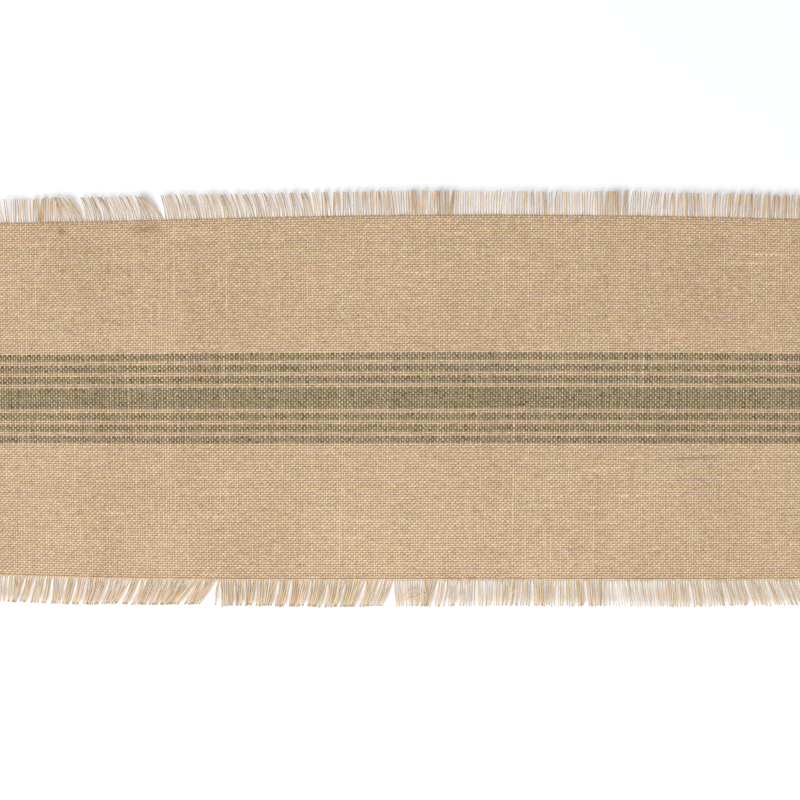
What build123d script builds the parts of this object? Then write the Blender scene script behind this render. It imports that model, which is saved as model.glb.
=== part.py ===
"""A long table runner in coarse plain weave, striped along its middle and fringed on all four sides.

The runner lies flat. X runs along its length, Y across it and Z up, in millimetres. The origin is the
middle of the underside. The lengthwise yarns lie side by side in bands: a plain field, seven stripes with
narrow lines of ground between them, and a second plain field. The crosswise yarns pass through every band
and stand out past the last one as the side fringes, and the lengthwise yarns do the same at the ends.
"""

import os

from build123d import *

# Driving dimensions
RUNNER_LENGTH = 1829.0
RUNNER_WIDTH = 356.0
FRINGE_LENGTH = 22.0
CLOTH_THICKNESS = 1.0
FRINGE_THICKNESS = 0.8

# Lengthwise yarns in each band
FIELD_YARNS = 59
WIDE_STRIPE_YARNS = 9
NARROW_STRIPE_YARNS = 3
GROUND_YARNS = 2
NARROW_STRIPES_A_SIDE = 3


def bands():
    """Names the bands from the front edge to the back one, each with its count of lengthwise yarns."""
    layout = [("stripe_middle", WIDE_STRIPE_YARNS)]
    for rank in range(1, NARROW_STRIPES_A_SIDE + 1):
        layout = [
            (f"stripe_front_{rank}", NARROW_STRIPE_YARNS),
            (f"ground_front_{rank}", GROUND_YARNS),
            *layout,
            (f"ground_back_{rank}", GROUND_YARNS),
            (f"stripe_back_{rank}", NARROW_STRIPE_YARNS),
        ]
    return [("field_front", FIELD_YARNS), *layout, ("field_back", FIELD_YARNS)]


def slab(x_span, y_span, thickness):
    """A plain closed slab that lies on the table, between the given limits in X and in Y."""
    length, width = x_span[1] - x_span[0], y_span[1] - y_span[0]
    middle = ((x_span[0] + x_span[1]) / 2, (y_span[0] + y_span[1]) / 2, 0)
    return Pos(*middle) * Box(length, width, thickness, align=(Align.CENTER, Align.CENTER, Align.MIN))


def cloth_bands(half_length, half_width):
    """The woven cloth, one slab to a band, laid side by side from the front edge."""
    layout = bands()
    pitch = 2 * half_width / sum(yarns for _, yarns in layout)
    pieces, edge = {}, -half_width
    for name, yarns in layout:
        pieces[name] = slab((-half_length, half_length), (edge, edge + yarns * pitch), CLOTH_THICKNESS)
        edge += yarns * pitch
    return pieces


def fringes(half_length, half_width):
    """The loose yarn ends outside the cloth, one slab to a side. The corners stay empty."""
    outer_x, outer_y = half_length + FRINGE_LENGTH, half_width + FRINGE_LENGTH
    along, across = (-half_length, half_length), (-half_width, half_width)
    return {
        "fringe_front": slab(along, (-outer_y, -half_width), FRINGE_THICKNESS),
        "fringe_back": slab(along, (half_width, outer_y), FRINGE_THICKNESS),
        "fringe_left": slab((-outer_x, -half_length), across, FRINGE_THICKNESS),
        "fringe_right": slab((half_length, outer_x), across, FRINGE_THICKNESS),
    }


def runner():
    """Every piece of the runner, by name."""
    half_length = RUNNER_LENGTH / 2 - FRINGE_LENGTH
    half_width = RUNNER_WIDTH / 2 - FRINGE_LENGTH
    return {**cloth_bands(half_length, half_width), **fringes(half_length, half_width)}


os.makedirs("parts", exist_ok=True)
for node, piece in runner().items():
    piece.label = node
    export_step(piece, f"parts/{node}.step")
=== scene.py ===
"""A long table runner in coarse plain weave, striped along its middle and fringed all round.

Every lengthwise yarn and every crosswise yarn is a strand of its own that passes over and under the
others. The loose ends outside the cloth are the fringe. The runner lies flat on a pale floor, X along its
length, Y across it and Z up, in metres.
"""

import logging
import math
from dataclasses import dataclass, field
from enum import Enum
from typing import Any

import bpy
import numpy as np
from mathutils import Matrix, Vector


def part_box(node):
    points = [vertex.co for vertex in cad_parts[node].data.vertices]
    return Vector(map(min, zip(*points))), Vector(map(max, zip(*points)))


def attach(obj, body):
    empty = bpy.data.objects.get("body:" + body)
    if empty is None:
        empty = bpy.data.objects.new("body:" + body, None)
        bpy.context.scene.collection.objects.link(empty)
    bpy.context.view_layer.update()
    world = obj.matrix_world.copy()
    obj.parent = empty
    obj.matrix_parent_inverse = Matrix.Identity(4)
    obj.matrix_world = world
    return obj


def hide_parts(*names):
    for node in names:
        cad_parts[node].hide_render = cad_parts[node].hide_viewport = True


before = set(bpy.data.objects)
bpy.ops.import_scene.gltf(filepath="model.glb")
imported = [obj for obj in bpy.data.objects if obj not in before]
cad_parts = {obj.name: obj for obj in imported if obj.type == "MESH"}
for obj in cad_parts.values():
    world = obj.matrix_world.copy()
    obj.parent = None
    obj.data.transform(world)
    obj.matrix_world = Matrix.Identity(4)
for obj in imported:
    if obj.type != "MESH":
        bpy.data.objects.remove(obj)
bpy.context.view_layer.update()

LOG = logging.getLogger("runner")
ROOT = "root"
MM = 0.001
TAU = 2.0 * math.pi
TINY = 1e-9
MIDDLE = 0.5  # halfway along anything that runs from 0 to 1
QUAD = 4  # the corners of a four-sided face
Array = np.ndarray
Triple = tuple[float, float, float]
Colour = Triple
Span = tuple[float, float]
Steps = tuple[Span, ...]
WHITE: Colour = (1.0, 1.0, 1.0)


# ---------------------------------------------------------------------------------------------- shader maths


class Signal:
    """One output socket of a node, which takes part in shader maths like a number."""

    def __init__(self, shader: "Shader", socket: bpy.types.NodeSocket) -> None:
        """Wraps a socket.

        Args:
            shader: The shader whose tree holds the socket.
            socket: The output socket.
        """
        self.shader = shader
        self.socket = socket

    def maths(self, operation: str, first: "Signal | float", second: "Signal | float") -> "Signal":
        """Adds a Math node.

        Args:
            operation: The node's operation.
            first: The first operand.
            second: The second operand.

        Returns:
            The node's result.
        """
        return self.shader.node("ShaderNodeMath", {"operation": operation}, {0: first, 1: second})

    def __add__(self, other: "Signal | float") -> "Signal":
        """Adds."""
        return self.maths("ADD", self, other)

    __radd__ = __add__

    def __mul__(self, other: "Signal | float") -> "Signal":
        """Multiplies."""
        return self.maths("MULTIPLY", self, other)

    __rmul__ = __mul__

    def __sub__(self, other: "Signal | float") -> "Signal":
        """Subtracts the other from this."""
        return self.maths("SUBTRACT", self, other)

    def __rsub__(self, other: "Signal | float") -> "Signal":
        """Subtracts this from the other."""
        return self.maths("SUBTRACT", other, self)

    def cosine(self) -> "Signal":
        """The cosine of this value, in radians."""
        return self.maths("COSINE", self, 0.0)

    def clamped(self) -> "Signal":
        """This value, kept from 0 to 1."""
        settings = {"operation": "ADD", "use_clamp": True}
        return self.shader.node("ShaderNodeMath", settings, {0: self, 1: 0.0})


class Shader:
    """A material in the making, with one method that adds any node."""

    # A Mix node has its own sockets for each sort of data. These are the colours'.
    MIX_FIRST = 6
    MIX_SECOND = 7
    MIX_RESULT = 2

    def __init__(self, name: str) -> None:
        """Starts an empty node tree.

        Args:
            name: The material's name.
        """
        self.material = bpy.data.materials.new(name)
        self.material.use_nodes = True
        self.tree = self.material.node_tree
        self.tree.nodes.clear()

    def node(
        self,
        kind: str,
        settings: dict[str, Any] | None = None,
        sockets: dict[Any, Any] | None = None,
        output: Any = 0,
    ) -> Signal:
        """Adds a node.

        Args:
            kind: The node's type.
            settings: The node's own settings, which are made first.
            sockets: A value or a signal for each input that isn't left as it is, by index or name.
            output: The index or name of the output that is wanted.

        Returns:
            The wanted output.
        """
        made = self.tree.nodes.new(kind)
        for name, value in (settings or {}).items():
            setattr(made, name, value)
        for key, value in (sockets or {}).items():
            if isinstance(value, Signal):
                self.tree.links.new(value.socket, made.inputs[key])
            else:
                made.inputs[key].default_value = value
        return Signal(self, made.outputs[output])

    def stored(self, name: str) -> Signal:
        """A value that the mesh stores at its points."""
        return self.node("ShaderNodeAttribute", {"attribute_name": name}, {}, "Fac")

    def scaled(self, vector: Signal, scale: Triple) -> Signal:
        """A vector, multiplied part by part."""
        return self.node("ShaderNodeVectorMath", {"operation": "MULTIPLY"}, {0: vector, 1: scale})

    def noise(self, vector: Signal, scale: Triple, detail: float) -> Signal:
        """Flat noise.

        Args:
            vector: The place on the surface.
            scale: How many times the noise repeats in each direction.
            detail: How much finer noise is laid over it.

        Returns:
            The noise, about a half.
        """
        sockets = {"Vector": self.scaled(vector, scale), "Detail": detail}
        return self.node("ShaderNodeTexNoise", {"noise_dimensions": "2D"}, sockets, "Fac")

    def mix(self, first: Any, second: Any, factor: Any, blend: str = "MIX") -> Signal:
        """Mixes two colours.

        Args:
            first: The colour where the factor is 0.
            second: The colour where the factor is 1.
            factor: The share of the second colour.
            blend: The way the second colour is laid on.

        Returns:
            The mixed colour.
        """
        settings = {"data_type": "RGBA", "blend_type": blend}
        a = first if isinstance(first, Signal) else (*first, 1.0)
        b = second if isinstance(second, Signal) else (*second, 1.0)
        sockets = {"Factor": factor, self.MIX_FIRST: a, self.MIX_SECOND: b}
        return self.node("ShaderNodeMix", settings, sockets, self.MIX_RESULT)

    def finish(self, sockets: dict[str, Any]) -> bpy.types.Material:
        """Closes the tree with a Principled shader.

        Args:
            sockets: Values and signals for the shader's inputs, by name.

        Returns:
            The finished material.
        """
        surface = self.node("ShaderNodeBsdfPrincipled", {}, sockets)
        made = self.tree.nodes.new("ShaderNodeOutputMaterial")
        self.tree.links.new(surface.socket, made.inputs["Surface"])
        return self.material


# ---------------------------------------------------------------------------------------------- finishes


@dataclass(frozen=True)
class YarnFinish:
    """The look of one sort of spun yarn: its shades, its fibre streaks, its specks and its twist, with
    painted shade on the flanks of each strand.

    Scales are repeats in a metre of strand and in a turn round it.
    """

    name: str
    slot: str
    dark: Colour
    light: Colour
    # The colour of the painted shade on each strand's flanks, and how much of it is laid on.
    painted_flank_shade: Colour
    painted_flank_shade_share: float = 0.6
    cool: Colour = (0.955, 1.015, 0.92)
    rosy: Colour = (1.045, 0.98, 1.05)
    stray_dye: Colour = (0.235, 0.25, 0.215)
    speck: Colour = (0.16, 0.09, 0.04)
    speck_share: float = 0.004
    speck_cover: float = 0.7
    speck_level: float = 0.74
    speck_edge: float = 12.0
    speck_scale: Triple = (260.0, 1.5, 1.0)
    speck_detail: float = 1.0
    streak: float = 0.16
    fibre_scale: Triple = (900.0, 3.0, 1.0)
    fibre_detail: float = 2.0
    twist_scale: Triple = (420.0, 1.0, 1.0)
    twist_distortion: float = 1.2
    relief: float = 0.25
    relief_depth: float = 0.12 * MM
    roughness: float = 0.86
    roughness_swing: float = 0.12
    sheen: float = 0.25
    sheen_roughness: float = 0.6
    specular: float = 0.25

    def material(self) -> bpy.types.Material:
        """Makes the yarn's material.

        Returns:
            A matt material, with fibre streaks that wind round each strand.
        """
        shader = Shader(self.name)
        along = shader.node("ShaderNodeUVMap", {"uv_map": "strand"})
        fibre = shader.noise(along, self.fibre_scale, self.fibre_detail)
        return shader.finish(
            {
                "Base Color": self.colour(shader, along, fibre),
                "Roughness": (self.roughness + (fibre - MIDDLE) * self.roughness_swing).clamped(),
                "Normal": self.twist(shader, along, fibre),
                "Sheen Weight": self.sheen,
                "Sheen Roughness": self.sheen_roughness,
                "Specular IOR Level": self.specular,
            }
        )

    def colour(self, shader: Shader, along: Signal, fibre: Signal) -> Signal:
        """The yarn's colour, from its tone, warmth and stray dye, with painted shade on the flanks of each
        strand.

        Args:
            shader: The material in the making.
            along: The place along and round a strand.
            fibre: The fibre streaks.

        Returns:
            The colour.
        """
        around = shader.node("ShaderNodeSeparateXYZ", {}, {0: along}, "Y")
        # Painted shade: the sides of each strand, away from its top, are mixed towards the flank shade
        # colour; ground is the colour with that painted shade laid on.
        beside = (around * TAU).cosine()
        shaded_flank = beside * beside * beside * beside
        tone = shader.stored("tone") + (fibre - MIDDLE) * (2.0 * self.streak)
        crown = shader.mix(self.dark, self.light, tone.clamped())
        ground = shader.mix(crown, self.painted_flank_shade, shaded_flank * self.painted_flank_shade_share)
        tint = shader.mix(self.cool, self.rosy, shader.stored("warmth"))
        tinted = shader.mix(ground, tint, 1.0, "MULTIPLY")
        dyed = shader.mix(tinted, self.stray_dye, shader.stored("stray") * (MIDDLE + fibre))
        chance = shader.noise(along, self.speck_scale, self.speck_detail)
        speckled = ((chance - (self.speck_level - self.speck_share)) * self.speck_edge).clamped()
        return shader.mix(dyed, self.speck, speckled * self.speck_cover)

    def twist(self, shader: Shader, along: Signal, fibre: Signal) -> Signal:
        """The relief of the yarn's twist and fibres.

        Args:
            shader: The material in the making.
            along: The place along and round a strand.
            fibre: The fibre streaks.

        Returns:
            The surface's normal.
        """
        wave = shader.node(
            "ShaderNodeTexWave",
            {"wave_type": "BANDS", "bands_direction": "DIAGONAL"},
            {
                "Vector": shader.scaled(along, self.twist_scale),
                "Scale": 1.0,
                "Distortion": self.twist_distortion,
                "Detail": 1.0,
            },
            "Fac",
        )
        relief = {"Strength": self.relief, "Distance": self.relief_depth, "Height": wave + fibre}
        return shader.node("ShaderNodeBump", {}, relief)


@dataclass(frozen=True)
class FloorFinish:
    """The look of the pale floor."""

    name: str = "pale_floor"
    colour: Colour = (0.845, 0.855, 0.87)

    def material(self) -> bpy.types.Material:
        """Makes the floor's material."""
        sockets = {"Base Color": (*self.colour, 1.0), "Roughness": 1.0, "Specular IOR Level": 0.0}
        return Shader(self.name).finish(sockets)


# In each finish, the flank colour is painted shade for the sides of its strands.
NATURAL = YarnFinish(
    "natural_yarn",
    "natural_yarn",
    dark=(0.40, 0.262, 0.145),
    light=(0.812, 0.612, 0.403),
    painted_flank_shade=(0.28, 0.145, 0.06),
)
SAGE = YarnFinish(
    "stripe_yarn",
    "stripe_yarn",
    dark=(0.098, 0.073, 0.024),
    light=(0.341, 0.289, 0.151),
    painted_flank_shade=(0.07, 0.043, 0.015),
    speck_share=0.0,
)
LOOSE = YarnFinish(
    "fringe_yarn",
    "fringe_yarn",
    dark=(0.43, 0.262, 0.105),
    light=(0.88, 0.695, 0.485),
    painted_flank_shade=(0.34, 0.19, 0.08),
    painted_flank_shade_share=0.4,
    stray_dye=(0.19, 0.155, 0.075),
)


# ---------------------------------------------------------------------------------------------- chance


def eased(share: Array) -> Array:
    """Eases a share from 0 to 1, so that it starts and ends level."""
    return share * share * (3.0 - 2.0 * share)


def kept(values: Array) -> Array:
    """Keeps values from 0 to 1."""
    return np.clip(values, 0.0, 1.0)


def drift(rng: np.random.Generator, rows: int, columns: int, step: float, spare: int = 4) -> Array:
    """Smooth random rows, each of which wanders about zero.

    Args:
        rng: The source of chance.
        rows: How many rows.
        columns: How many values in a row.
        step: How many columns lie between one chance value and the next.
        spare: How many chance values are drawn past the row's length.

    Returns:
        The rows, as an array of rows by columns.
    """
    place = np.arange(columns)[None, :] / step + rng.random((rows, 1))
    knots = rng.standard_normal((rows, int(columns / step) + spare))
    cell = place.astype(int)
    part = eased(place - cell)
    pick = np.arange(rows)[:, None]
    return knots[pick, cell] * (1.0 - part) + knots[pick, cell + 1] * part


def mottling(rng: np.random.Generator, rows: int, columns: int, step: float, spare: int = 2) -> Array:
    """Soft patches in both directions, which wander about zero.

    Args:
        rng: The source of chance.
        rows: How many rows.
        columns: How many columns.
        step: How many places lie between one chance value and the next.
        spare: How many chance values are drawn past each side.

    Returns:
        The patches, as an array of rows by columns.
    """
    knots = rng.standard_normal((int(rows / step) + spare, int(columns / step) + spare))
    down, across = np.arange(rows) / step, np.arange(columns) / step
    i, j = down.astype(int)[:, None], across.astype(int)[None, :]
    u, v = eased(down[:, None] - i), eased(across[None, :] - j)
    near = knots[i, j] * (1.0 - v) + knots[i, j + 1] * v
    far = knots[i + 1, j] * (1.0 - v) + knots[i + 1, j + 1] * v
    return near * (1.0 - u) + far * u


@dataclass(frozen=True)
class Slubs:
    """The thick places along spun yarn: how many a yarn has on average, and how long and thick they are."""

    share: float
    length: float
    length_spread: Span = (0.5, 1.8)
    thickness: Span = (0.4, 1.0)

    def along(self, rng: np.random.Generator, rows: int, columns: int) -> Array:
        """Lays thick places on a set of yarns.

        Args:
            rng: The source of chance.
            rows: How many yarns.
            columns: How many values along each yarn.

        Returns:
            0 along plain yarn, rising to 1 in the middle of a thick place.
        """
        swell = np.zeros((rows, columns))
        place = np.arange(columns)
        for _ in range(int(rows * self.share)):
            row, middle = rng.integers(rows), rng.uniform(0, columns)
            reach = self.length * rng.uniform(*self.length_spread)
            swell[row] += rng.uniform(*self.thickness) * np.exp(-(((place - middle) / reach) ** 2))
        return np.minimum(swell, 1.0)


# ---------------------------------------------------------------------------------------------- strands


@dataclass
class Strands:
    """A bundle of strands that run side by side, each as a line of rings."""

    path: Array
    half_width: Array
    half_height: Array
    tone: Array
    warmth: Array
    sides: int = 4
    stray: Array | None = None
    map_step: float = 3.17  # how far one strand's map lies from the next, so that no two look alike
    map_crown: float = 0.25  # where the top of a strand lies in its map

    def rings(self) -> Array:
        """The points of every ring.

        Returns:
            An array of strands by rings by points by 3.
        """
        ahead = np.gradient(self.path, axis=1)
        ahead /= np.linalg.norm(ahead, axis=2, keepdims=True)
        beside = np.stack([ahead[..., 1], -ahead[..., 0], np.zeros(ahead.shape[:2])], axis=2)
        beside /= np.maximum(np.linalg.norm(beside, axis=2, keepdims=True), TINY)
        above = np.cross(beside, ahead)
        turn = np.arange(self.sides) * TAU / self.sides
        out = beside[:, :, None] * (self.half_width[:, :, None] * np.cos(turn))[..., None]
        up = above[:, :, None] * (self.half_height[:, :, None] * np.sin(turn))[..., None]
        return self.path[:, :, None] + out + up

    def mesh(self, name: str) -> bpy.types.Mesh:
        """Skins the strands as closed tubes, smooth along their walls and flat at their ends.

        Args:
            name: The mesh's name.

        Returns:
            The mesh, with a UV map that runs along and round each strand.
        """
        rings = self.rings()
        sides = self.sides
        index = np.arange(rings[..., 0].size).reshape(rings.shape[:3])
        turned = np.roll(index, -1, axis=2)
        walls = np.stack([index[:, :-1], index[:, 1:], turned[:, 1:], turned[:, :-1]], axis=-1)
        walls = walls.reshape(-1, QUAD)
        caps = np.concatenate([index[:, 0, ::-1], index[:, -1]]).reshape(-1, sides)
        corners = np.concatenate([walls.ravel(), caps.ravel()]).astype(np.int32)
        sizes = np.concatenate([np.full(len(walls), QUAD), np.full(len(caps), sides)])
        starts = np.concatenate([[0], np.cumsum(sizes)[:-1]]).astype(np.int32)
        mesh = bpy.data.meshes.new(name)
        mesh.vertices.add(index.size)
        mesh.vertices.foreach_set("co", rings.astype(np.float32).ravel())
        mesh.loops.add(len(corners))
        mesh.loops.foreach_set("vertex_index", corners)
        mesh.polygons.add(len(sizes))
        mesh.polygons.foreach_set("loop_start", starts)
        mesh.update(calc_edges=True)
        mesh.polygons.foreach_set("use_smooth", np.arange(len(sizes)) < len(walls))
        self.lay_map(mesh)
        self.store(mesh, "tone", self.tone)
        self.store(mesh, "warmth", self.warmth)
        self.store(mesh, "stray", np.zeros_like(self.tone) if self.stray is None else self.stray)
        mesh.validate()
        return mesh

    def lay_map(self, mesh: bpy.types.Mesh) -> None:
        """Lays the UV map, metres along each strand and one turn round it.

        Args:
            mesh: The mesh to map.
        """
        strands, count = self.path.shape[:2]
        lengths = np.linalg.norm(np.diff(self.path, axis=1), axis=2)
        along = np.concatenate([np.zeros((strands, 1)), np.cumsum(lengths, axis=1)], axis=1)
        along += np.arange(strands)[:, None] * self.map_step
        around = np.arange(self.sides + 1) / self.sides
        u = np.stack([along[:, :-1], along[:, 1:], along[:, 1:], along[:, :-1]], axis=-1)
        u = np.broadcast_to(u[:, :, None], (strands, count - 1, self.sides, QUAD))
        v = np.stack([around[:-1], around[:-1], around[1:], around[1:]], axis=-1)
        v = np.broadcast_to(v[None, None], (strands, count - 1, self.sides, QUAD))
        wall = np.stack([u, v], axis=-1).reshape(-1, 2)
        ends = np.repeat(np.concatenate([along[:, 0], along[:, -1]]), self.sides)
        cap = np.stack([ends, np.full(len(ends), self.map_crown)], axis=-1)
        layer = mesh.uv_layers.new(name="strand")
        layer.uv.foreach_set("vector", np.concatenate([wall, cap]).astype(np.float32).ravel())

    def store(self, mesh: bpy.types.Mesh, name: str, values: Array) -> None:
        """Stores a value for each ring as a point attribute."""
        spread = np.repeat(values[:, :, None], self.sides, axis=2).astype(np.float32).ravel()
        mesh.attributes.new(name, "FLOAT", "POINT").data.foreach_set("value", spread)


def link(name: str, data: bpy.types.ID) -> bpy.types.Object:
    """Puts a new object in the scene.

    Args:
        name: The object's name.
        data: Its mesh, light or camera.

    Returns:
        The object.
    """
    made = bpy.data.objects.new(name, data)
    bpy.context.scene.collection.objects.link(made)
    return made


def piece(
    name: str, bundles: list[Strands], material: bpy.types.Material
) -> bpy.types.Object:
    """Makes a piece of the runner from bundles of strands.

    Args:
        name: The piece's name.
        bundles: What it is made of.
        material: The finish's material.

    Returns:
        The piece, which rides on the runner's one body.
    """
    meshes = [bundle.mesh(name) for bundle in bundles]
    made = link(name, meshes[0])
    if len(meshes) > 1:
        others = [link(f"{name}_more", mesh) for mesh in meshes[1:]]
        with bpy.context.temp_override(active_object=made, selected_editable_objects=[made, *others]):
            bpy.ops.object.join()
    made.data.materials.clear()
    made.data.materials.append(material)
    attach(made, ROOT)
    strands = sum(len(bundle.path) for bundle in bundles)
    LOG.info("%s: %d strands, %d faces", name, strands, len(made.data.polygons))
    return made


# ---------------------------------------------------------------------------------------------- the cloth


@dataclass(frozen=True)
class YarnShape:
    """How one set of yarns lies in the weave: its flattened section and how far it rises over the others."""

    over_width: float
    under_width: float
    half_height: float
    wave: float
    slubs: Slubs
    unevenness: float = 0.07
    mottle: float = 0.12
    tone: float = 0.0
    streak: float = 0.03


FIELD_WARP = YarnShape(
    over_width=2.28 * MM,
    under_width=2.56 * MM,
    half_height=0.25 * MM,
    wave=0.26 * MM,
    slubs=Slubs(1.0, 5.0),
    unevenness=0.06,
    mottle=0.14,
)
GROUND_WARP = YarnShape(
    over_width=1.94 * MM,
    under_width=2.10 * MM,
    half_height=0.25 * MM,
    wave=0.25 * MM,
    slubs=Slubs(1.5, 6.0),
    mottle=0.18,
    tone=-0.12,
)
STRIPE_WARP = YarnShape(
    over_width=1.94 * MM,
    under_width=2.36 * MM,
    half_height=0.25 * MM,
    wave=0.25 * MM,
    slubs=Slubs(1.5, 5.0),
    unevenness=0.15,
    mottle=0.26,
)
WEFT = YarnShape(
    over_width=1.26 * MM,
    under_width=1.44 * MM,
    half_height=0.29 * MM,
    wave=0.29 * MM,
    slubs=Slubs(0.35, 9.0),
    unevenness=0.10,
    mottle=0.16,
    streak=0.06,
)


@dataclass(frozen=True)
class Stray:
    """A place where a little dyed fibre was spun into a natural lengthwise yarn."""

    x: float
    y: float
    reach: float
    strength: float
    sharpness: int = 4

    def dye(self, x: Array, y: Array, half_pitch: float) -> Array:
        """How much dyed fibre there is at each place, which fades along the yarn and ends at its sides.

        Args:
            x: How far along the runner each place lies.
            y: How far across the runner it lies.
            half_pitch: Half the distance from one yarn to the next.

        Returns:
            The dyed share.
        """
        along, across = (x - self.x) / self.reach, (y - self.y) / half_pitch
        return self.strength * np.exp(-(along**2) - across**self.sharpness)


STRAYS = (
    Stray(0.250, -0.0522, 0.020, 0.66),
    Stray(0.230, -0.0547, 0.014, 0.35),
    Stray(0.264, -0.0500, 0.012, 0.45),
    Stray(0.256, -0.0690, 0.016, 0.5),
)


@dataclass(frozen=True)
class Patch:
    """A place where the cloth is a little darker, or lighter if the depth is below zero."""

    x: float
    y: float
    reach_x: float
    reach_y: float
    depth: float

    def shade(self, x: Array, y: Array) -> Array:
        """How much darker the patch makes each place."""
        along, across = (x - self.x) / self.reach_x, (y - self.y) / self.reach_y
        return self.depth * np.exp(-(along**2) - across**2)


PATCHES = (
    Patch(-0.2160, 0.1440, 0.0130, 0.0050, 0.50),
    Patch(-0.2890, 0.1410, 0.0030, 0.0028, 0.75),
    Patch(0.1760, 0.1000, 0.0013, 0.0042, 0.60),
    Patch(0.1170, -0.0660, 0.0040, 0.0018, 0.30),
    Patch(-0.2700, 0.1100, 0.0900, 0.0500, 0.07),
    Patch(-0.1740, 0.0500, 0.0200, 0.1000, 0.05),
    Patch(0.2700, 0.1000, 0.1100, 0.0700, 0.06),
    Patch(0.0200, -0.1200, 0.1300, 0.0600, -0.09),
    Patch(0.0000, 0.1000, 0.0900, 0.0500, -0.03),
    Patch(0.0200, 0.0280, 0.1700, 0.0110, -0.09),
    Patch(0.0000, 0.0360, 0.1600, 0.0040, -0.10),
    Patch(0.2700, -0.0150, 0.0900, 0.0050, 0.09),
    Patch(0.1680, -0.0200, 0.0090, 0.1600, 0.05),
)


@dataclass(frozen=True)
class Wave:
    """One long soft wave of the cloth, with its length in each direction and where it starts."""

    strength: float
    along: float
    across: float
    start: float = 0.0

    def at(self, x: Array, y: Array) -> Array:
        """The wave's height at each place, about zero."""
        return self.strength * np.sin(TAU * (x / self.along + y / self.across) + self.start)


WAVES = (Wave(1.0, 0.31, 0.9), Wave(0.7, 0.173, -0.42, 1.3), Wave(0.5, 0.47, 0.21, 0.4))


@dataclass(frozen=True)
class Lay:
    """How the cloth lies: its edges draw in, it bows to the front, and it stands in low waves."""

    back_waist: float = 0.024
    front_waist: float = 0.006
    front_sharpness: float = 3.0
    waist_length: float = 1.1
    waist_middle: float = 0.08
    crowding: float = 0.022
    bow: float = 0.5 * MM
    leaning: float = 1.6 * MM
    lean_length: float = 0.83
    lean_start: float = 0.1
    lean_width: float = 0.62
    lift: float = 0.9 * MM
    edge_settling: float = 0.75
    edge_reach: float = 0.045

    def bay(self, x: Array) -> Array:
        """0 where the cloth lies widest, rising to 2 where its edges draw in most."""
        return 1.0 - np.cos(TAU * (x - self.waist_middle) / self.waist_length)

    def across(self, x: Array, y: Array) -> Array:
        """Where a place across the flat cloth lies, since its edges draw in and it bows to the front.

        Args:
            x: How far along the flat cloth each place is.
            y: How far across the flat cloth it is.

        Returns:
            How far across it lies.
        """
        bay = self.bay(x)
        narrow = np.where(y > 0, self.back_waist * bay, self.front_waist * bay**self.front_sharpness)
        return y * (1.0 - narrow) - self.bow * bay

    def along(self, x: Array) -> Array:
        """Where a place along the flat cloth lies, since the crosswise yarns lie closer where it narrows."""
        swing = self.crowding * self.waist_length / TAU
        return x + swing * np.sin(TAU * (x - self.waist_middle) / self.waist_length)

    def lean(self, x: Array, y: Array) -> Array:
        """How far a crosswise yarn strays along the runner as it crosses it."""
        along = np.sin(TAU * (x / self.lean_length + self.lean_start))
        return self.leaning * along * np.sin(TAU * y / self.lean_width)

    def height(self, x: Array, y: Array, half_width: float) -> Array:
        """How far the underside stands off the table, in long soft waves that die away at the long edges.

        Args:
            x: How far along the runner each place lies.
            y: How far across the runner it lies.
            half_width: Half the cloth's width.

        Returns:
            The height of each place.
        """
        waves = sum(wave.at(x, y) for wave in WAVES) / sum(wave.strength for wave in WAVES)
        edge = np.clip(1.0 - (half_width - np.abs(y)) / self.edge_reach, 0.0, 1.0)
        return self.lift * (1.0 + waves) / 2 * (1.0 - self.edge_settling * eased(edge))


@dataclass(frozen=True)
class Chance:
    """How uneven the cloth is.

    A pair is how many yarns lie between one turn and the next, and how far the value wanders. Jitter
    differs from one crossing to the next.
    """

    sway: Steps = ((7.0, 0.08 * MM), (30.0, 0.16 * MM))
    sway_jitter: float = 0.10 * MM
    wander: Steps = ((5.0, 0.035 * MM), (40.0, 0.05 * MM))
    wander_jitter: float = 0.05 * MM
    patches: Steps = ((5.0, 0.008), (22.0, 0.025))
    rosiness: Steps = ((4.5, 0.13),)
    batches: Steps = ((14.0, 0.07), (2.5, 0.05))
    width_step: float = 2.5
    width_jitter: float = 0.6
    tone_step: float = 2.0
    tone_swing: float = 0.02
    weft_fullness: float = 0.07
    thick_weft: float = 0.3
    thick_weft_share: float = 0.02


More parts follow.
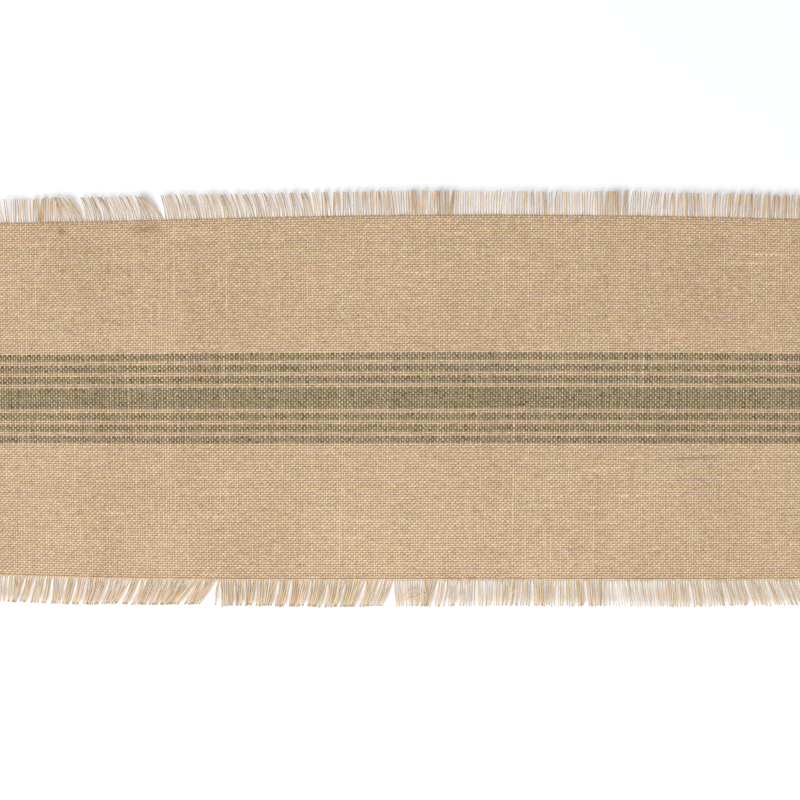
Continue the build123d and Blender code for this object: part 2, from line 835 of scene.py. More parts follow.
@dataclass
class Cloth:
    """The woven cloth: where its yarns cross, how it lies, and the yarns of both directions."""

    narrow_stripe: str = "stripe_front_1"
    narrow_stripe_yarns: int = 3
    weft_pitch: float = 2.117 * MM
    half_thickness: float = 0.58 * MM
    most_warps: int = 20  # the most lengthwise yarns that one piece may hold
    weft_sections: int = 6
    lay: Lay = Lay()
    chance: Chance = Chance()
    slub_width: float = 0.45
    slub_height: float = 0.2
    # Painted light: thick places are lighter as a painted highlight; yarn crowns that pass over are lighter,
    # and dips that pass under are darker as painted shade.
    painted_slub_highlight: float = 0.16
    painted_crown_light_and_shade: float = 0.15
    edge_shade: float = 0.12
    narrow_gleam: float = 0.05
    wide_gleam: float = -0.09
    stripe_squeeze: float = 0.14
    seed: int = 11
    warp_pieces: dict[str, tuple[bpy.types.Object, float]] = field(default_factory=dict)
    weft_pieces: list[bpy.types.Object] = field(default_factory=list)

    def __post_init__(self) -> None:
        """Reads the cloth's size from the frame and lays out the crossings."""
        low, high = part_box(self.narrow_stripe)
        self.warp_pitch = (high[1] - low[1]) / self.narrow_stripe_yarns
        low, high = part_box("field_front")[0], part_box("field_back")[1]
        self.length, self.width = high[0] - low[0], high[1] - low[1]
        self.warps = round(self.width / self.warp_pitch)
        self.wefts = round(self.length / self.weft_pitch)
        self.rng = np.random.default_rng(self.seed)
        self.gleam = np.zeros(self.warps)
        self.dyed = np.zeros(self.warps)
        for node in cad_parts:
            if node.startswith("stripe"):
                first, last = self.band(node)
                narrow = last - first == self.narrow_stripe_yarns
                self.gleam[first:last] = self.narrow_gleam if narrow else self.wide_gleam
                self.dyed[first:last] = 1.0
        self.lay_crossings()
        self.patches = self.mottled(self.chance.patches)
        self.patches -= sum(patch.shade(self.x, self.y) for patch in PATCHES)
        self.rosiness = MIDDLE + self.mottled(self.chance.rosiness)

    def band(self, node: str) -> tuple[int, int]:
        """Finds a band's lengthwise yarns.

        Args:
            node: The band's name in the frame.

        Returns:
            The band's first lengthwise yarn, and the first one past it.
        """
        low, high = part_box(node)
        first = round((low[1] + self.width / 2) / self.warp_pitch)
        return first, round((high[1] + self.width / 2) / self.warp_pitch)

    def mottled(self, steps: Steps) -> Array:
        """Soft patches over the whole cloth, as a value about zero for each crossing."""
        return sum(far * mottling(self.rng, self.wefts, self.warps, step) for step, far in steps)

    def unsteady(self, rows: int, columns: int, steps: Steps, jitter: float) -> Array:
        """How far yarns stray from where they belong.

        Args:
            rows: How many yarns.
            columns: How many crossings each yarn has.
            steps: For each sort of wandering, how many crossings lie between turns and how far it goes.
            jitter: How far each crossing strays by itself.

        Returns:
            The distances, as yarns by crossings.
        """
        strayed = sum(far * drift(self.rng, rows, columns, step) for step, far in steps)
        return strayed + jitter * self.rng.standard_normal((rows, columns))

    def lay_crossings(self) -> None:
        """Places every crossing of a lengthwise and a crosswise yarn."""
        flat_x = (np.arange(self.wefts) + MIDDLE) * self.length / self.wefts - self.length / 2
        flat_y = (np.arange(self.warps) + MIDDLE) * self.warp_pitch - self.width / 2
        x, y = np.meshgrid(flat_x, flat_y, indexing="ij")
        sway = self.unsteady(self.wefts, self.warps, self.chance.sway, self.chance.sway_jitter)
        wander = self.unsteady(self.warps, self.wefts, self.chance.wander, self.chance.wander_jitter)
        self.x = self.lay.along(x) + sway + self.lay.lean(x, y)
        self.y = self.lay.across(x, y) + wander.T
        self.z = self.lay.height(self.x, self.y, self.width / 2) + self.half_thickness
        parity = (np.arange(self.wefts)[:, None] + np.arange(self.warps)[None, :]) % 2
        self.over = np.where(parity == 0, 1.0, -1.0)

    def strands(
        self,
        path: Array,
        shape: YarnShape,
        over: Array,
        swell: Array,
        tone: Array,
        warmth: Array,
        fullness: Array | float = 1.0,
    ) -> Strands:
        """Gives a set of yarn paths their thickness.

        Args:
            path: The yarns' crossings, as yarns by crossings by 3, level with the cloth's middle.
            shape: How these yarns lie in the weave.
            over: 1 where the yarn passes over, and -1 where it passes under.
            swell: How far each place is thickened, from 0 to 1.
            tone: How light the yarn is, from 0 to 1.
            warmth: How rosy the yarn is, from 0 to 1.
            fullness: How thick each yarn is, as a share of the usual thickness.

        Returns:
            The strands.
        """
        uneven = 1.0 + shape.unevenness * drift(self.rng, *over.shape, self.chance.width_step)
        uneven += self.chance.width_jitter * shape.unevenness * self.rng.standard_normal(over.shape)
        width = np.where(over > 0, shape.over_width, shape.under_width) * uneven * fullness
        width = width * (1.0 + self.slub_width * swell)
        height = shape.half_height * (1.0 + self.slub_height * swell)
        risen = path.copy()
        risen[..., 2] += over * shape.wave
        return Strands(risen, width / 2, height, kept(tone), kept(warmth), stray=self.strays(path))

    def strays(self, path: Array) -> Array:
        """How much dyed fibre was spun into each place on a set of yarns.

        Args:
            path: The yarns' crossings.

        Returns:
            The dyed share, from 0 to 1.
        """
        found = sum(stray.dye(path[..., 0], path[..., 1], self.warp_pitch / 2) for stray in STRAYS)
        return np.minimum(found, 1.0)

    def shades(self, shape: YarnShape, over: Array, swell: Array, patches: Array) -> Array:
        """How light each place on a set of yarns is, with painted light on its crowns and thick places and
        painted shade where it passes under.

        Args:
            shape: How these yarns lie in the weave.
            over: 1 where the yarn passes over, and -1 where it passes under.
            swell: How far each place is thickened.
            patches: How much lighter the whole cloth is at each place.

        Returns:
            The tone, about the middle.
        """
        rows, columns = over.shape
        tone = MIDDLE + shape.tone + shape.streak * self.rng.standard_normal((rows, 1))
        tone = tone + self.chance.tone_swing * drift(self.rng, rows, columns, self.chance.tone_step)
        tone += shape.mottle * self.rng.standard_normal((rows, columns))
        # painted highlight on thick places, painted light on crowns and painted shade where the yarn passes
        # under
        return tone + self.painted_slub_highlight * swell + self.painted_crown_light_and_shade * over + patches

    def weave_warp(
        self, node: str, shape: YarnShape, material: bpy.types.Material
    ) -> None:
        """Makes the lengthwise yarns of one band.

        Args:
            node: The band's name in the frame.
            shape: How the band's yarns lie in the weave.
            material: The yarn's material.
        """
        first, last = self.band(node)
        parts = math.ceil((last - first) / self.most_warps)
        limits = [first + round(k * (last - first) / parts) for k in range(parts + 1)]
        for k in range(parts):
            picked = slice(limits[k], limits[k + 1])
            path = np.stack([self.x[:, picked].T, self.y[:, picked].T, self.z[:, picked].T], axis=-1)
            rows = path.shape[0]
            swell = shape.slubs.along(self.rng, rows, self.wefts)
            over = self.over[:, picked].T
            tone = self.shades(shape, over, swell, self.patches[:, picked].T)
            outermost = np.isin(np.arange(limits[k], limits[k + 1]), (0, self.warps - 1))
            tone -= self.edge_shade * outermost[:, None]
            bundle = self.strands(path, shape, over, swell, tone, self.rosiness[:, picked].T)
            name = f"{node}_yarns" if parts == 1 else f"{node}_yarns_{k + 1}"
            made = piece(name, [bundle], material)
            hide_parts(node)
            self.warp_pieces[made.name] = (made, rows * self.warp_pitch)

    def weave_weft(self, material: bpy.types.Material) -> None:
        """Makes the crosswise yarns, which run from one long edge to the other.

        Args:
            material: The yarn's material.
        """
        limits = [round(k * self.wefts / self.weft_sections) for k in range(self.weft_sections + 1)]
        batch = sum(far * drift(self.rng, 1, self.wefts, step)[0] for step, far in self.chance.batches)
        for k in range(self.weft_sections):
            picked = slice(limits[k], limits[k + 1])
            path = np.stack([self.x[picked], self.y[picked], self.z[picked]], axis=-1)
            swell = WEFT.slubs.along(self.rng, len(path), self.warps)
            over = -self.over[picked]
            tone = self.shades(WEFT, over, swell, self.patches[picked])
            tone += batch[picked, None] + self.gleam[None, :]
            fullness = self.weft_fullness(len(path))
            bundle = self.strands(path, WEFT, over, swell, tone, self.rosiness[picked], fullness)
            self.weft_pieces.append(piece(f"crosswise_yarns_{k + 1}", [bundle], material))

    def weft_fullness(self, rows: int) -> Array:
        """How thick some crosswise yarns are at each crossing.

        Args:
            rows: How many yarns.

        Returns:
            The share of the usual thickness: a few yarns are thick, and all are squeezed in the stripes.
        """
        full = 1.0 + self.chance.weft_fullness * self.rng.standard_normal((rows, 1))
        full += self.chance.thick_weft * (self.rng.random((rows, 1)) < self.chance.thick_weft_share)
        return full * (1.0 - self.stripe_squeeze * self.dyed[None, :])


# ---------------------------------------------------------------------------------------------- the fringes


class Side(Enum):
    """A side of the runner, as the direction in which its fringe points."""

    FRONT = (0.0, -1.0)
    BACK = (0.0, 1.0)
    LEFT = (-1.0, 0.0)
    RIGHT = (1.0, 0.0)


@dataclass(frozen=True)
class Comb:
    """How the fringe lies along one stretch of an edge.

    Its tips lean to one side, neighbours gather into tufts of a few yarns, and the yarn is frayed fuller or
    finer. It flows into the next stretch unless the fringe parts at its end.
    """

    end: float
    lean: float
    gather: float
    tuft: float = 4.0
    fullness: float = 1.0
    parted: bool = False


FRONT_COMBS = (
    Comb(-0.333, -1.0 * MM, 0.15, 2.0, 0.6),
    Comb(-0.325, -1.5 * MM, 0.19, 5.0, 1.1, True),
    Comb(-0.292, -5.5 * MM, 0.28, 4.0, 1.04),
    Comb(-0.286, -1.5 * MM, 0.19, 2.0, 0.6, True),
    Comb(-0.245, -5.0 * MM, 0.27, 4.0, 1.1),
    Comb(-0.215, -9.0 * MM, 0.29, 4.0, 1.08),
    Comb(-0.190, -9.0 * MM, 0.25, 4.0, 1.1),
    Comb(-0.172, -15.0 * MM, 0.24, 6.0, 1.18),
    Comb(-0.156, -13.0 * MM, 0.26, 4.0, 1.1, True),
    Comb(-0.120, 0.0 * MM, 0.28, 4.0, 1.04),
    Comb(-0.095, -2.5 * MM, 0.24, 5.0, 1.12),
    Comb(-0.060, -4.0 * MM, 0.20, 6.0, 1.15),
    Comb(-0.030, -6.5 * MM, 0.21, 5.0, 1.12),
    Comb(-0.006, -9.0 * MM, 0.24, 5.0, 1.0, True),
    Comb(0.020, 1.5 * MM, 0.12, 3.0, 0.62),
    Comb(0.042, -5.5 * MM, 0.25, 4.0, 0.9, True),
    Comb(0.056, -2.0 * MM, 0.31, 3.0, 0.65, True),
    Comb(0.085, 0.0 * MM, 0.18, 2.0, 0.56),
    Comb(0.112, -3.5 * MM, 0.30, 3.0, 0.84),
    Comb(0.130, 0.0 * MM, 0.26, 4.0, 0.86),
    Comb(0.145, 0.5 * MM, 0.20, 3.0, 0.68),
    Comb(0.172, 0.5 * MM, 0.30, 5.0, 1.0),
    Comb(0.178, 0.0 * MM, 0.20, 3.0, 0.8),
    Comb(0.222, 4.0 * MM, 0.10, 2.0, 0.52),
    Comb(0.256, 0.5 * MM, 0.28, 4.0, 0.88),
    Comb(0.310, 5.5 * MM, 0.24, 3.0, 0.82),
    Comb(0.350, 8.0 * MM, 0.20, 3.0, 0.74),
)
BACK_COMBS = (
    Comb(-0.338, -7.0 * MM, 0.60, 3.0, 1.0, True),
    Comb(-0.312, -0.5 * MM, 0.30, 3.0, 0.9),
    Comb(-0.302, 0.0 * MM, 0.60, 5.0, 1.5),
    Comb(-0.292, -1.0 * MM, 0.30, 3.0, 0.9, True),
    Comb(-0.283, -5.0 * MM, 0.70, 3.0, 1.0),
    Comb(-0.268, -12.5 * MM, 0.60, 4.0, 1.2, True),
    Comb(-0.250, -6.5 * MM, 0.75, 3.0, 1.0),
    Comb(-0.230, -7.5 * MM, 0.55, 3.0, 0.95),
    Comb(-0.212, -6.0 * MM, 0.70, 2.5, 1.0),
    Comb(-0.2005, -14.0 * MM, 0.30, 3.0, 1.0, True),
    Comb(-0.150, -5.5 * MM, 0.70, 2.5, 1.0),
    Comb(-0.105, -6.0 * MM, 0.75, 3.0, 1.0),
    Comb(-0.055, -3.5 * MM, 0.70, 3.0, 1.0),
    Comb(-0.034, -0.5 * MM, 0.50, 3.0, 1.0),
    Comb(-0.012, -1.5 * MM, 0.55, 3.0, 1.1, True),
    Comb(-0.004, -3.0 * MM, 0.30, 3.0, 1.2),
    Comb(0.006, -0.5 * MM, 0.20, 2.0, 0.8),
    Comb(0.022, -2.0 * MM, 0.35, 4.0, 1.45),
    Comb(0.030, 0.0 * MM, 0.15, 2.0, 0.8),
    Comb(0.047, 0.0 * MM, 0.25, 4.0, 1.6),
    Comb(0.096, 0.3 * MM, 0.20, 2.0, 0.8),
    Comb(0.120, 0.3 * MM, 0.35, 2.0, 0.95),
    Comb(0.136, 0.3 * MM, 0.35, 3.0, 1.1),
    Comb(0.170, 0.5 * MM, 0.25, 2.0, 0.85),
    Comb(0.194, 0.5 * MM, 0.30, 4.0, 1.5),
    Comb(0.235, 1.6 * MM, 0.40, 2.0, 0.9),
    Comb(0.250, -2.0 * MM, 0.40, 4.0, 1.2),
    Comb(0.285, 0.5 * MM, 0.30, 2.0, 1.12),
    Comb(0.350, 1.4 * MM, 0.40, 3.0, 1.32),
)


@dataclass(frozen=True)
class Tangle:
    """A loose yarn that lies across the fringe, through three places along the edge and out from it."""

    start: Span
    middle: Span
    end: Span
    height: float = 5.6 * MM
    thickness: float = 0.8 * MM

    def path(self, rings: int) -> Array:
        """The yarn's curve.

        Args:
            rings: How many places to find along it.

        Returns:
            Each place, as its distance along the edge, out from it and above the table.
        """
        t = np.linspace(0.0, 1.0, rings)[:, None]
        start, middle, end = (np.array([*place, 0.0]) for place in (self.start, self.middle, self.end))
        flat = start * (1.0 - t) ** 2 + 2.0 * middle * t * (1.0 - t) + end * t**2
        return flat + np.array([0.0, 0.0, self.height])


TANGLES = (
    Tangle((0.0045, 12.5 * MM), (0.0130, 5.0 * MM), (0.0225, 14.5 * MM)),
    Tangle((0.0060, 16.0 * MM), (0.0150, 17.5 * MM), (0.0215, 9.0 * MM)),
    Tangle((0.0205, 4.0 * MM), (0.0240, 14.0 * MM), (0.0215, 23.5 * MM)),
    Tangle((0.0480, 2.0 * MM), (0.0500, 10.0 * MM), (0.0405, 15.5 * MM)),
    Tangle((0.0500, 11.0 * MM), (0.0490, 19.0 * MM), (0.0430, 23.0 * MM)),
    Tangle((0.0560, 1.0 * MM), (0.0600, 12.0 * MM), (0.0545, 22.0 * MM)),
    Tangle((0.0920, 3.0 * MM), (0.0950, 16.0 * MM), (0.0985, 8.0 * MM)),
)


@dataclass(frozen=True)
class Cut:
    """How one edge's fringe was cut, and how its yarn ends stand and fray."""

    side: Side
    node: str
    reach: float
    seed: int
    combs: tuple[Comb, ...] = ()
    tangles: tuple[Tangle, ...] = ()
    thickness: float = 0.76 * MM
    fibres: int = 2
    fray: float = 0.4 * MM
    rise: float = 5.5 * MM
    tone: float = 0.5
    # How the tone changes towards the tips: the front's lighter tips are painted light, and the back's
    # darker tips are browner yarn.
    tip_tone_and_painted_light: float = 0.0
    untidiness: float = 0.7 * MM
    gather_reach: float = 0.45
    curl: float = 1.9


CUTS = (
    Cut(
        Side.FRONT,
        "fringe_front",
        reach=23.0 * MM,
        seed=21,
        combs=FRONT_COMBS,
        tangles=TANGLES,
        thickness=1.24 * MM,
        fray=1.1 * MM,
        rise=6.6 * MM,
        tone=0.61,
        # the lighter tips of the front fringe are painted light
        tip_tone_and_painted_light=0.25,
        untidiness=0.42 * MM,
        gather_reach=0.4,
        curl=1.3,
    ),
    Cut(
        Side.BACK,
        "fringe_back",
        reach=21.6 * MM,
        seed=22,
        combs=BACK_COMBS,
        thickness=0.80 * MM,
        fibres=1,
        fray=0.2 * MM,
        rise=7.6 * MM,
        tone=0.37,
        tip_tone_and_painted_light=-0.15,
        untidiness=0.34 * MM,
        gather_reach=0.9,
    ),
    Cut(Side.LEFT, "fringe_left", reach=22.0 * MM, seed=23),
    Cut(Side.RIGHT, "fringe_right", reach=22.0 * MM, seed=24),
)


@dataclass(frozen=True)
class Looseness:
    """How far chance moves the yarn ends of a fringe.

    A step is how many yarns, or how many rings of one yarn, lie between one turn and the next.
    """

    stretch: float = 0.06
    stretch_spread: Span = (0.3, 1.5)
    lean: float = 5.0 * MM
    gather: Span = (0.1, 0.5)
    tuft: Span = (3.0, 6.0)
    fullness: Span = (0.8, 1.2)
    tuft_spread: Span = (0.4, 1.6)
    tuft_stray: float = 1.6
    yarn_stray: float = 0.8
    stray_step: float = 9.0
    curl: float = 0.12
    curl_limits: Span = (0.7, 1.4)
    gather_spread: Span = (0.7, 1.1)
    waver: float = 0.6
    waver_step: float = 4.0
    cut_jitter: float = 0.35 * MM
    cut_waver: float = 0.5 * MM
    cut_step: float = 22.0
    rise_spread: Span = (0.5, 1.0)
    thickness_waver: float = 0.12
    thickness_step: float = 3.0
    tone_spread: float = 0.14
    tone_waver: float = 0.08
    tone_step: float = 3.0
    warmth_waver: float = 0.2
    warmth_step: float = 4.0
    tangle_waver: float = 0.15
    tangle_step: float = 3.0


@dataclass(frozen=True)
class YarnEnd:
    """The shape of a loose yarn end, and of the fine fibres that have worked loose from it."""

    segments: int = 9
    sides: int = 6
    free_lean: float = 6.0 * MM  # a yarn end that leans further than this reaches less far out
    lean_cost: float = 0.22
    belly: float = 0.02
    rise_curve: float = 1.2
    root_reach: float = 0.09
    root_fullness: float = 0.8
    sharing: int = 3  # how many neighbours share out their fullness
    swelling: float = 0.45
    taper: float = 0.35
    taper_power: int = 8
    fibre_sides: int = 3
    fibre_radius: float = 0.11 * MM
    fibre_taper: float = 0.5
    fibre_glow: float = 0.1
    fray_curve: float = 1.3
    fray_lift: float = 0.25 * MM
    fray_shortening: float = 0.4
    floor_gap: float = 0.12 * MM
    tangle_rings: int = 13
    tangle_glow: float = 0.15


@dataclass
class Fringe:
    """The loose yarn ends along one edge."""

    cloth: Cloth
    cut: Cut
    roots: Array
    root_width: float
    dyed: Array
    chance: Looseness = Looseness()
    shape: YarnEnd = YarnEnd()

    def __post_init__(self) -> None:
        """Sets up the fringe's own chance and the directions along and out from the edge."""
        self.rng = np.random.default_rng(self.cut.seed)
        side = self.cut.side.value
        self.out = np.array([*side, 0.0])
        self.beside = np.array([abs(side[1]), abs(side[0]), 0.0])
        self.place = self.roots @ self.beside

    def stretches(self) -> list[Comb]:
        """The fringe's stretches, which lie as chance has it wherever no comb is given.

        Returns:
            The stretches in order, from one end of the edge to the other.
        """
        combs = self.cut.combs
        start = combs[0].end - self.chance.stretch if combs else math.inf
        laid: list[Comb] = []
        place = float(self.place.min()) - MM
        while place < min(start, self.place.max()):
            place += self.chance_stretch()
            laid.append(self.chance_comb(min(place, start)))
        laid += combs
        while laid[-1].end < self.place.max():
            laid.append(self.chance_comb(laid[-1].end + self.chance_stretch()))
        return laid

    def chance_stretch(self) -> float:
        """The length of a stretch, as chance has it."""
        return self.chance.stretch * self.rng.uniform(*self.chance.stretch_spread)

    def chance_comb(self, end: float) -> Comb:
        """A stretch that lies as chance has it.

        Args:
            end: Where it ends along the edge.

        Returns:
            The stretch.
        """
        lean = self.chance.lean * float(self.rng.standard_normal())
        spans = (self.chance.gather, self.chance.tuft, self.chance.fullness)
        gather, tuft, fullness = (float(self.rng.uniform(*span)) for span in spans)
        return Comb(end, lean, gather, tuft, fullness)

    def combed(self) -> list[Array]:
        """How each yarn end leans, gathers and is grouped, and how full it is.

        Returns:
            For each yarn, its lean, its gathering, how many yarns are in its tuft and its fullness.
        """
        laid = self.stretches()
        ends = np.array([comb.end for comb in laid])
        pick = np.searchsorted(ends, self.place)
        table = np.array([(comb.lean, comb.gather, comb.tuft, comb.fullness) for comb in laid])[pick]
        middles = (ends + np.concatenate([ends[:1] - self.chance.stretch, ends[:-1]])) / 2
        parting = np.cumsum([0, *(comb.parted for comb in laid[:-1])])
        leans = np.array([comb.lean for comb in laid])
        for group in range(parting[-1] + 1):
            here, among = parting[pick] == group, parting == group
            table[here, 0] = np.interp(self.place[here], middles[among], leans[among])
        return list(table.T)

    def tufts(self, size: Array) -> tuple[Array, Array]:
        """Groups the yarn ends into tufts.

        Args:
            size: How many yarns each tuft has, about each yarn.

        Returns:
            For each yarn, the middle of its tuft, as a place along the edge, and how far the tuft leans by
            chance.
        """
        middle, strays = np.zeros(len(self.place)), np.zeros(len(self.place))
        first = 0
        while first < len(self.place):
            held = max(1, round(size[first] * self.rng.uniform(*self.chance.tuft_spread)))
            last = min(len(self.place), first + held)
            middle[first:last] = self.place[first:last].mean()
            strays[first:last] = self.rng.standard_normal()
            first = last
        return middle, strays

    def lie(self, lean: Array, gather: Array, size: Array) -> Array:
        """The path of every yarn end, from the cloth's edge to its tip.

        Args:
            lean: How far each tip leans along the edge.
            gather: How far each yarn is drawn to the middle of its tuft.
            size: How many yarns each tuft has.

        Returns:
            An array of yarns by rings by 3.
        """
        count = len(self.roots)
        chance, shape = self.chance, self.shape
        middle, strays = self.tufts(size)
        strays = chance.tuft_stray * strays + chance.yarn_stray * self.rng.standard_normal(count)
        strays += drift(self.rng, 1, count, chance.stray_step)[0]
        lean = lean + self.cut.untidiness * strays
        t = np.linspace(0.0, 1.0, shape.segments + 1)[None, :]
        curl = (1.0 + chance.curl * self.rng.standard_normal((count, 1))).clip(*chance.curl_limits)
        gathered = 1.0 - np.exp(-((t / self.cut.gather_reach) ** 2))
        share = self.rng.uniform(*chance.gather_spread, (count, 1)) * gather[:, None]
        side = lean[:, None] * t ** (self.cut.curl * curl)
        side += (middle - self.place)[:, None] * share * gathered
        waver = drift(self.rng, count, shape.segments + 1, chance.waver_step)
        side += chance.waver * self.cut.untidiness * waver * t
        path = self.roots[:, None] * np.array([1.0, 1.0, 0.0])
        path = path + side[..., None] * self.beside + self.outward(lean, t)[..., None] * self.out
        rise = self.cut.rise * self.rng.uniform(*chance.rise_spread, (count, 1))
        lifted = (self.cut.thickness / 2 + rise) * t**shape.rise_curve
        path[..., 2] = self.roots[:, 2:3] * (1.0 - t) + lifted
        return path

    def outward(self, lean: Array, t: Array) -> Array:
        """How far out from the edge each yarn end has come, since the shears didn't cut quite straight.

        Args:
            lean: How far each tip leans along the edge.
            t: How far along the yarn end each ring is, from 0 to 1.

        Returns:
            The distances, as yarns by rings.
        """
        count = len(self.roots)
        cut = self.cut.reach + self.chance.cut_jitter * self.rng.standard_normal((count, 1))
        cut += self.chance.cut_waver * drift(self.rng, 1, count, self.chance.cut_step)[0][:, None]
        cut -= self.shape.lean_cost * np.maximum(np.abs(lean[:, None]) - self.shape.free_lean, 0.0)
        return cut * (t - self.shape.belly * np.sin(math.pi * t))

    def strands(self) -> list[Strands]:
        """The yarn ends, and the fine fibres that have worked loose from each.

        Returns:
            One bundle of yarn ends, then a bundle for each set of fibres and each loose yarn.
        """
        chance, shape = self.chance, self.shape
        lean, gather, size, fullness = self.combed()
        path = self.lie(lean, gather, size)
        count, rings = path.shape[:2]
        t = np.linspace(0.0, 1.0, rings)[None, :]
        padded = np.pad(fullness, shape.sharing // 2, mode="edge")
        full = np.convolve(padded, np.ones(shape.sharing) / shape.sharing, mode="valid")[:, None]
        uneven = 1.0 + chance.thickness_waver * drift(self.rng, count, rings, chance.thickness_step)
        near = np.exp(-((t / shape.root_reach) ** 2))
        profile = shape.root_fullness + shape.swelling * t - shape.taper * t**shape.taper_power
        body = self.cut.thickness / 2 * full * uneven * (1.0 - near) * profile
        width = body + self.root_width / 2 * near
        height = body + self.cloth.half_thickness / 2 * near
        tone = self.cut.tone + chance.tone_spread * self.rng.standard_normal((count, 1))
        tone = tone + chance.tone_waver * drift(self.rng, count, rings, chance.tone_step)
        # painted light at the front fringe's tips; darker yarn at the back fringe's tips
        tone += self.cut.tip_tone_and_painted_light * t**2
        warmth = kept(MIDDLE + chance.warmth_waver * drift(self.rng, count, rings, chance.warmth_step))
        dyed = np.broadcast_to(self.dyed[:, None], tone.shape)
        bundles = [Strands(path, width, height, kept(tone), warmth, shape.sides, dyed)]
        glow = kept(tone + shape.fibre_glow)
        thin = np.full((count, rings), shape.fibre_radius) * (1.0 - shape.fibre_taper * t)
        for _ in range(self.cut.fibres):
            fibre = self.frayed(path, t)
            bundles.append(Strands(fibre, thin, thin, glow, warmth, shape.fibre_sides, dyed))
        bundles += [self.tangled(tangle) for tangle in self.cut.tangles]
        return bundles

    def frayed(self, path: Array, t: Array) -> Array:
        """Where one fine fibre of each yarn end lies.

        Args:
            path: The yarn ends' paths.
            t: How far along the yarn end each ring is, from 0 to 1.

        Returns:
            The fibres' paths, as yarns by rings by 3.
        """
        each = (len(path), 1)
        stray = self.cut.fray * self.rng.standard_normal(each) * t**self.shape.fray_curve
        fine = path + stray[..., None] * self.beside
        fine[..., 2] += self.shape.fray_lift * self.rng.standard_normal(each) * t
        fine[..., 2] = np.maximum(fine[..., 2], self.shape.floor_gap)
        shorter = self.shape.fray_shortening * self.cut.fray * self.rng.random(each) * t
        return fine - shorter[..., None] * self.out

    def tangled(self, tangle: Tangle) -> Strands:
        """One loose yarn that lies across the fringe.

        Args:
            tangle: Where it lies.

        Returns:
            The yarn.
        """
        places = tangle.path(self.shape.tangle_rings)
        places[:, 1] += np.interp(places[:, 0], self.place, self.roots @ self.out)
        path = (places @ np.array([self.beside, self.out, [0.0, 0.0, 1.0]]))[None]
        waver = drift(self.rng, 1, len(places), self.chance.tangle_step)
        thick = tangle.thickness / 2 * (1.0 + self.chance.tangle_waver * waver)
        tone = np.full(thick.shape, self.cut.tone + self.shape.tangle_glow)
        warmth = np.full(thick.shape, MIDDLE)
        return Strands(path, thick, thick, tone, warmth, self.shape.sides)

    def make(self, material: bpy.types.Material) -> bpy.types.Object:
        """Makes the fringe's piece.

        Args:
            material: The fringe yarn's material.

        Returns:
            The piece.
        """
        made = piece(f"{self.cut.node}_yarns", self.strands(), material)
        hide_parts(self.cut.node)
        return made


def edge_roots(cloth: Cloth, side: Side) -> Array:
    """Where the yarn ends leave the cloth along one edge.

    Args:
        cloth: The woven cloth.
        side: The edge.

    Returns:
        A point for each yarn end.
    """
    last = 0 if side in (Side.FRONT, Side.LEFT) else -1
    if side in (Side.FRONT, Side.BACK):
        return np.stack([cloth.x[:, last], cloth.y[:, last], cloth.z[:, last]], axis=-1)
    return np.stack([cloth.x[last], cloth.y[last], cloth.z[last]], axis=-1)


# ---------------------------------------------------------------------------------------------- the studio


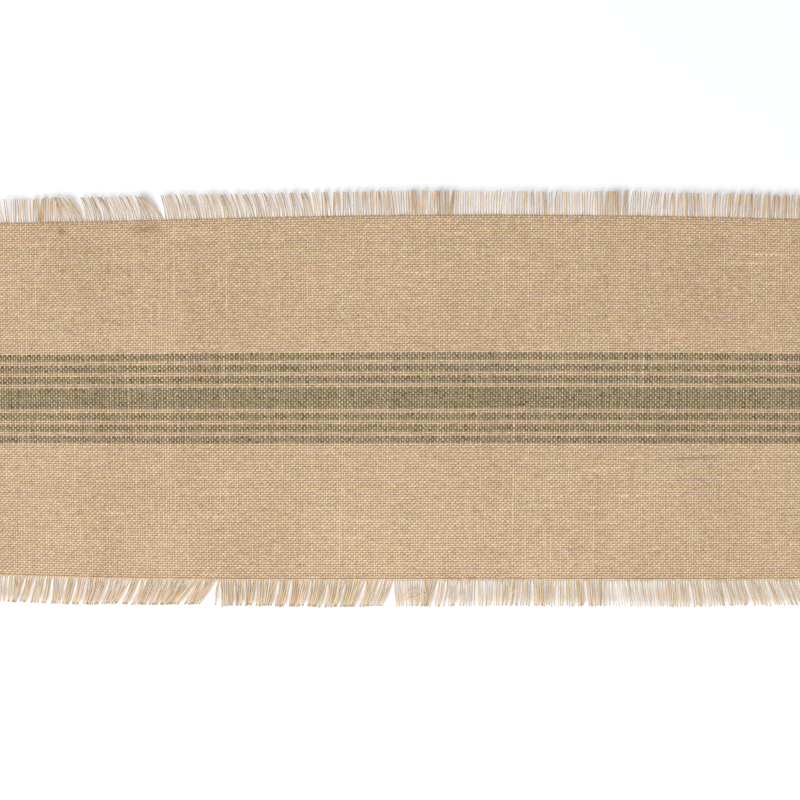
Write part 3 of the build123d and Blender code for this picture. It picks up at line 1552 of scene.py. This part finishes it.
@dataclass
class Studio:
    """The pale floor, the soft light and the camera straight above the runner."""

    view_width: float = 0.684
    camera_height: float = 2.6
    aim: Span = (0.0, -0.002)
    sensor: float = 36.0
    farthest: float = 200.0
    floor_half: float = 30.0
    sky: float = 0.58
    key_place: Triple = (-1.6, -2.3, 3.7)
    key_size: float = 3.4
    key_power: float = 205.0

    def build(self) -> None:
        """Makes the floor, the lights and the camera."""
        self.floor()
        self.lights()
        self.camera()
        view = bpy.context.scene.view_settings
        view.view_transform = "Standard"
        view.look = "None"

    def floor(self) -> None:
        """Lays the floor just under the runner."""
        h = self.floor_half
        mesh = bpy.data.meshes.new("floor")
        mesh.from_pydata([(-h, -h, 0), (h, -h, 0), (h, h, 0), (-h, h, 0)], [], [(0, 1, 2, 3)])
        mesh.materials.append(FloorFinish().material())
        link("floor", mesh)

    def lights(self) -> None:
        """Hangs a white sky and a broad soft panel of light, in front and to the left."""
        world = bpy.data.worlds.new("sky")
        world.use_nodes = True
        back = world.node_tree.nodes["Background"]
        back.inputs["Color"].default_value = (*WHITE, 1.0)
        back.inputs["Strength"].default_value = self.sky
        bpy.context.scene.world = world
        panel = bpy.data.lights.new("key", "AREA")
        panel.shape = "DISK"
        panel.size = self.key_size
        panel.energy = self.key_power
        made = link("key", panel)
        made.location = self.key_place
        made.rotation_euler = Vector(self.key_place).to_track_quat("Z", "Y").to_euler()

    def camera(self) -> None:
        """Sets the camera straight above, with the runner's length across the picture."""
        lens = bpy.data.cameras.new("camera")
        lens.sensor_width = self.sensor
        lens.lens = self.sensor * self.camera_height / self.view_width
        lens.clip_end = self.farthest
        made = link("camera", lens)
        made.location = (*self.aim, self.camera_height)
        bpy.context.scene.camera = made


# ---------------------------------------------------------------------------------------------- the runner


# How each sort of band is woven, by the first word of its name.
BANDS = {"stripe": (STRIPE_WARP, SAGE), "ground": (GROUND_WARP, NATURAL), "field": (FIELD_WARP, NATURAL)}
ROOT_SPREAD = 1.22  # how far a crosswise yarn spreads as it leaves the cloth


def loosen(cloth: Cloth, material: bpy.types.Material) -> list[bpy.types.Object]:
    """Makes the fringes of all four edges.

    Args:
        cloth: The woven cloth.
        material: The fringe yarn's material.

    Returns:
        The fringes' pieces.
    """
    fringes = []
    for cut in CUTS:
        crosswise = cut.side in (Side.FRONT, Side.BACK)
        root_width = ROOT_SPREAD * WEFT.under_width if crosswise else FIELD_WARP.over_width
        roots = edge_roots(cloth, cut.side)
        dyed = np.zeros(len(roots)) if crosswise else cloth.dyed
        fringes.append(Fringe(cloth, cut, roots, root_width, dyed).make(material))
    return fringes


def main() -> None:
    """Builds the runner and its studio, piece by piece."""
    logging.basicConfig(level=logging.INFO, format="%(message)s")
    Studio().build()
    materials = {finish.name: finish.material() for finish in (NATURAL, SAGE, LOOSE)}
    cloth = Cloth()
    for node in sorted(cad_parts):
        sort = node.split("_")[0]
        if sort in BANDS:
            shape, finish = BANDS[sort]
            cloth.weave_warp(node, shape, materials[finish.name])
    cloth.weave_weft(materials[NATURAL.name])
    loosen(cloth, materials[LOOSE.name])


if __name__ == "__main__":
    main()
